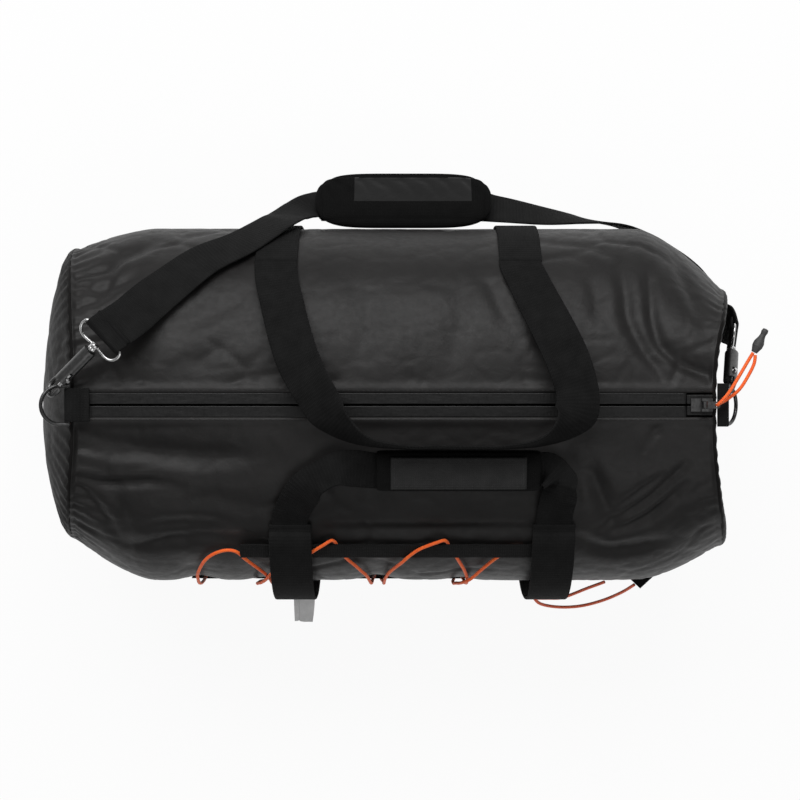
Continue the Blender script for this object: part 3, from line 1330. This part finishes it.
def flap_form():
    xs = np.linspace(-FLAP_L / 2, FLAP_L / 2, 80)
    ys = np.linspace(-FLAP_W / 2, FLAP_W / 2, 30)
    x, y = np.meshgrid(xs, ys)
    edge = np.minimum(FLAP_L / 2 - np.abs(x), FLAP_W / 2 - np.abs(y))
    top = FLAP_T - 0.9 * (1 - fade(edge, 0, 1.6)) - 0.25 * bell(edge - FLAP_SEAM, 0.7)
    low = GRIP_T / 2 + 0.3
    base = GRIP_CENTRE + x[..., None] * np.array([1.0, 0, 0]) + y[..., None] * GRIP_SIDE
    outer = base + (low + top)[..., None] * GRIP_UP
    inner = base + low * GRIP_UP
    piece = thick_sheet("grip_flap_look", outer, inner, stacked(x, y), flap_cloth, False)
    finish_piece(piece, "flap", "padding", "grip_flap")
    corners = np.array([(-1, -1), (1, -1), (1, 1), (-1, 1), (-1, -1)])
    corners = corners * (FLAP_L / 2 - FLAP_SEAM, FLAP_W / 2 - FLAP_SEAM)
    way = np.linspace(0, 1, 40)[:, None]
    rows = []
    for start, end in zip(corners[:-1], corners[1:]):
        flat = start + (end - start) * way
        line = (GRIP_CENTRE + flat[:, :1] * np.array([1.0, 0, 0]) + flat[:, 1:] * GRIP_SIDE
                + (low + FLAP_T - 0.3) * GRIP_UP)
        rows.append((line, np.tile(GRIP_UP, (len(way), 1))))
    seam = stitches("flap_stitches", rows, thread)
    finish_piece(seam, "flap", "padding")


grip_form()
flap_form()

# Lace tapes, bar-tacked to the near side
LACE_RIGHT = NEAR_RIGHT_X - 10
LACE_OFF = CORD_D + 0.7
LACE_T = 1.2
LACE_W = 18.0
TACK_W = 8.0
UPPER_TACKS = (-134, -100, -70, -36, 0, 36, 74, 130)
LOWER_TACKS = (-205, -172, -150, -104, -60, 20, 42, 90, 130)


def lace_tape(name, left, z0, tacks):
    z1 = z0 + LACE_W * skin_point(z0 + LACE_W / 2, 0)[1][0]
    xs = np.linspace(left, LACE_RIGHT, 200)
    heights = np.linspace(z0, z1, 12)
    pinned = np.min(np.abs(xs[:, None] - np.array(tacks)[None, :] - TACK_W / 2), axis=1)
    dips = 0.35 * (1 - fade(pinned, 2, 9))
    outer = np.empty((len(heights), len(xs), 3))
    inner = np.empty_like(outer)
    for i, z in enumerate(heights):
        skin, normal = skin_point(z, 0)
        for layer, off in ((outer, LACE_OFF + LACE_T), (inner, LACE_OFF)):
            place = skin + (off - dips)[:, None] * normal
            layer[i] = np.column_stack([xs, -place[:, 0], place[:, 1]])
    run = run_along(outer[:, 0])
    uv = stacked(xs[None, :], run[:, None])
    piece = thick_sheet(name + "_look", outer, inner, uv, tape_cloth, False)
    finish_piece(piece, "bag", "webbing", name)
    for k, x in enumerate(tacks):
        points = []
        normals = []
        for z in np.linspace(z0 + 3, z1 - 3, 8):
            place, normal = skin_point(z, LACE_OFF / 2)
            points.append((x + TACK_W / 2, -place[0], place[1]))
            normals.append((0, -normal[0], normal[1]))
        tack = ribbon(f"{name}_tack_{k}", points, normals, TACK_W - 1, LACE_OFF - 0.7, tape_cloth)
        finish_piece(tack, "bag", "webbing")


lace_tape("upper_lace_tape", -SEAM_HALF + 151, 270.5, UPPER_TACKS)
lace_tape("lower_lace_tape", -SEAM_HALF + 89, 100.0, LOWER_TACKS)

# Hardware keeps its solids and takes finer materials
DRESSED = {
    "zip_slider": dark_steel, "zip_pull_tab": dark_steel, "left_d_ring": black_steel,
    "right_d_ring": black_steel, "left_hook": dark_steel, "right_hook": dark_steel,
    "left_hook_bolt": bright_steel, "right_hook_bolt": bright_steel, "zip_pull_grip": rubber,
}
for node, material in DRESSED.items():
    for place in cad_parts[node].material_slots:
        place.material = material

# Floor and studio light
floor_mesh = bpy.data.meshes.new("floor")
FLOOR_HALF = 6.0
floor_corners = [(x * FLOOR_HALF, y * FLOOR_HALF, 0) for x, y in ((-1, -1), (1, -1), (1, 1), (-1, 1))]
floor_mesh.from_pydata(floor_corners, [], [(0, 1, 2, 3)])
floor = bpy.data.objects.new("floor", floor_mesh)
bpy.context.scene.collection.objects.link(floor)
floor_paint, floor_tree, floor_shader = new_material("floor_paint")
floor_shader.inputs["Base Color"].default_value = (0.92, 0.92, 0.92, 1)
floor_shader.inputs["Roughness"].default_value = 0.9
floor_shader.inputs["Specular IOR Level"].default_value = 0.0
light_path = add(floor_tree, "ShaderNodeLightPath")
seen = joined(floor_tree, "MAXIMUM", light_path.outputs["Is Camera Ray"], light_path.outputs["Is Glossy Ray"])
white_share = add(floor_tree, "ShaderNodeMath", operation="MULTIPLY")
floor_tree.links.new(seen, white_share.inputs[0])
white_share.inputs[1].default_value = 0.93
white = add(floor_tree, "ShaderNodeEmission", Color=(1, 1, 1, 1))
floor_mix = add(floor_tree, "ShaderNodeMixShader", Fac=white_share.outputs[0])
floor_tree.links.new(floor_shader.outputs["BSDF"], floor_mix.inputs[1])
floor_tree.links.new(white.outputs["Emission"], floor_mix.inputs[2])
floor_tree.links.new(floor_mix.outputs["Shader"], floor_tree.nodes["Material Output"].inputs["Surface"])
floor_mesh.materials.append(floor_paint)


def area_light(name, place, target, size, power):
    data = bpy.data.lights.new(name, "AREA")
    data.shape = "RECTANGLE"
    data.size = size[0]
    data.size_y = size[1]
    data.energy = power
    lamp = bpy.data.objects.new(name, data)
    lamp.location = place
    lamp.rotation_euler = (Vector(target) - Vector(place)).to_track_quat("-Z", "Y").to_euler()
    bpy.context.scene.collection.objects.link(lamp)


area_light("key", (-0.3, 1.9, 2.5), (0, 0, 0.2), (3.0, 1.6), 82)
area_light("fill", (0.6, -1.6, 2.8), (0, 0, 0.2), (2.5, 1.5), 17)
world = bpy.data.worlds.new("studio")
world.use_nodes = True
world.node_tree.nodes["Background"].inputs["Color"].default_value = (0.9, 0.9, 0.9, 1)
world.node_tree.nodes["Background"].inputs["Strength"].default_value = 0.26
bpy.context.scene.world = world
bpy.context.scene.view_settings.view_transform = "Standard"
